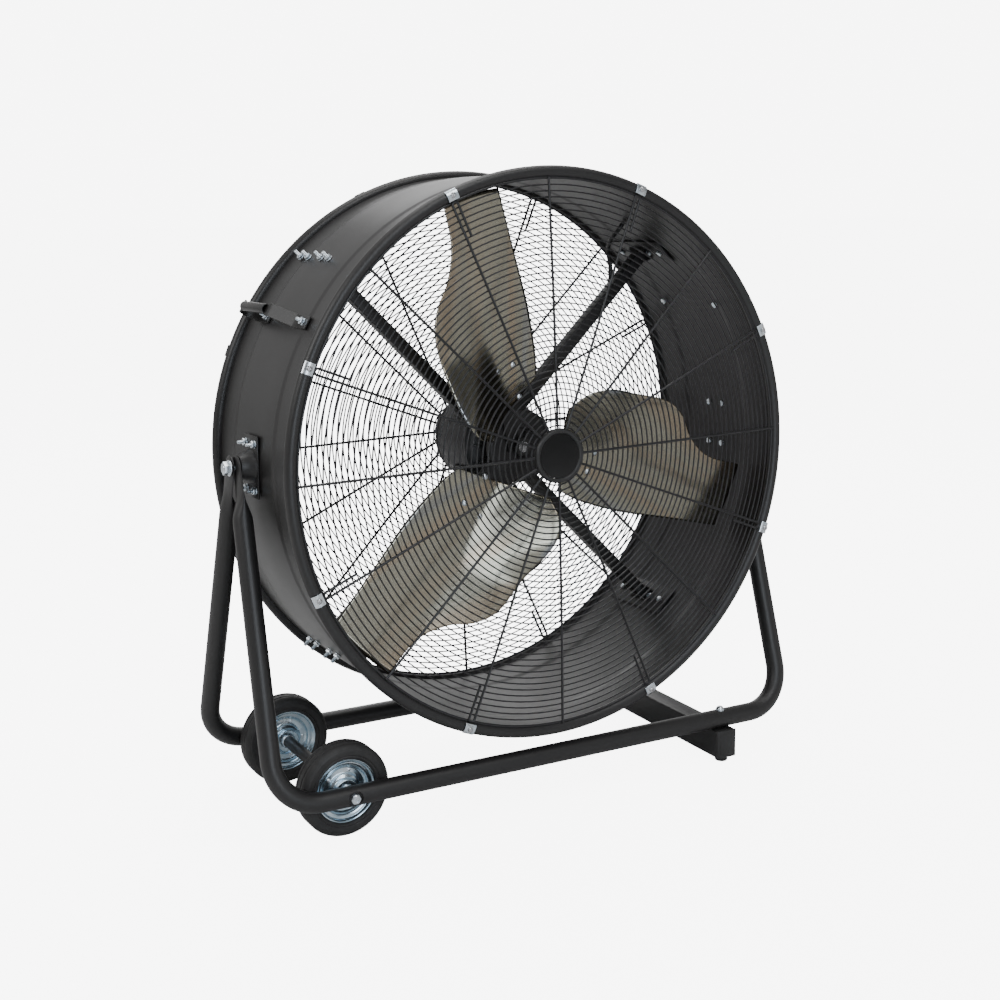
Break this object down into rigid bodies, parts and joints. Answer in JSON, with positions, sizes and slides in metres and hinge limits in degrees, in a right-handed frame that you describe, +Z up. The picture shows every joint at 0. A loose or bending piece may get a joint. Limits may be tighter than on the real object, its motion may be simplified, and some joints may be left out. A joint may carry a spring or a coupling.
{
  "type": "drum fan",
  "caption": "Drum fan in a tilting ring between wire guards, hung in a bent tube stand that rolls on one pair of wheels and rests on a padded cross foot.",
  "frame": {"origin": "on the floor, under the middle of the drum", "axes": "+Z up, +Y from the front guard to the rear guard, +X to the right as seen from the front"},
  "size_m": [1.019, 0.3706, 1.0532],
  "materials": {
    "black_coat": "satin black powder coat",
    "black_plastic": "fine-grained black plastic",
    "black_rubber": "matte black rubber",
    "tyre_rubber": "matte black tyre rubber",
    "zinc": "bright zinc plating with a bluish tint",
    "bright_steel": "bright turned steel",
    "blade_aluminium": "semi-gloss rolled aluminium sheet",
    "motor_paint": "dark grey motor paint",
    "copper": "lacquered copper windings and steel",
    "bronze": "sintered bronze"
  },
  "bodies": {
    "stand": {"stand_loop_front": "black_coat", "stand_loop_rear": "black_coat", "cross_foot_beam": "black_coat", "foot_cap_front": "black_plastic", "foot_cap_rear": "black_plastic", "foot_pad_front": "black_rubber", "foot_pad_rear": "black_rubber", "foot_bolt_front": "zinc", "foot_bolt_rear": "zinc", "axle_rod": "zinc", "axle_spacer": "black_coat", "axle_nut_front": "zinc", "axle_nut_rear": "zinc", "pivot_bolt_left": "zinc", "pivot_bolt_right": "zinc"},
    "drum": {"drum_shell": "black_coat", "front_grille": "black_coat", "rear_grille": "black_coat", "badge": "black_plastic", "grille_clip_1": "zinc", "grille_clip_2": "zinc", "grille_clip_3": "zinc", "grille_clip_4": "zinc", "grille_clip_5": "zinc", "grille_clip_6": "zinc", "grille_clip_7": "zinc", "grille_clip_8": "zinc", "handle_left": "black_coat", "handle_right": "black_coat", "pivot_bracket_left": "black_coat", "pivot_bracket_right": "black_coat", "motor_casing": "motor_paint", "motor_front_bell": "motor_paint", "motor_rear_bell": "motor_paint", "stator": "copper", "bearing_front": "bright_steel", "bearing_rear": "bright_steel", "motor_arm_1": "black_coat", "motor_arm_2": "black_coat", "motor_arm_3": "black_coat", "motor_arm_4": "black_coat", "switch_box": "black_plastic", "rotary_switch": "black_plastic", "run_capacitor": "bright_steel", "cable_gland": "black_plastic", "motor_lead": "black_plastic"},
    "rotor": {"motor_shaft": "bright_steel", "rotor_core": "bright_steel", "hub_nut": "zinc", "hub_spider": "black_coat", "blade_1": "blade_aluminium", "blade_2": "blade_aluminium", "blade_3": "blade_aluminium"},
    "wheel_front": {"tyre_front": "tyre_rubber", "wheel_disc_front": "zinc", "wheel_bush_front": "bronze"},
    "wheel_rear": {"tyre_rear": "tyre_rubber", "wheel_disc_rear": "zinc", "wheel_bush_rear": "bronze"},
    "switch_knob": {"switch_knob": "black_plastic"}
  },
  "joints": [
    {"name": "drum_tilt", "type": "hinge", "parent": "stand", "child": "drum", "pos_m": [0, 0, 0.5795], "axis": [1, 0, 0], "range_deg": [-90, 90]},
    {"name": "rotor_spin", "type": "hinge", "parent": "drum", "child": "rotor", "pos_m": [0, 0, 0.5795], "axis": [0, 0.9997, -0.0237], "continuous": true},
    {"name": "wheel_front_spin", "type": "hinge", "parent": "stand", "child": "wheel_front", "pos_m": [-0.3658, -0.1245, 0.075], "axis": [0, 1, 0], "continuous": true},
    {"name": "wheel_rear_spin", "type": "hinge", "parent": "stand", "child": "wheel_rear", "pos_m": [-0.3658, 0.1245, 0.075], "axis": [0, 1, 0], "continuous": true},
    {"name": "switch_knob_turn", "type": "hinge", "parent": "drum", "child": "switch_knob", "pos_m": [0.28966, 0.02981, 0.99258], "axis": [0.5736, 0.0194, 0.8189], "range_deg": [0, 90]}
  ]
}
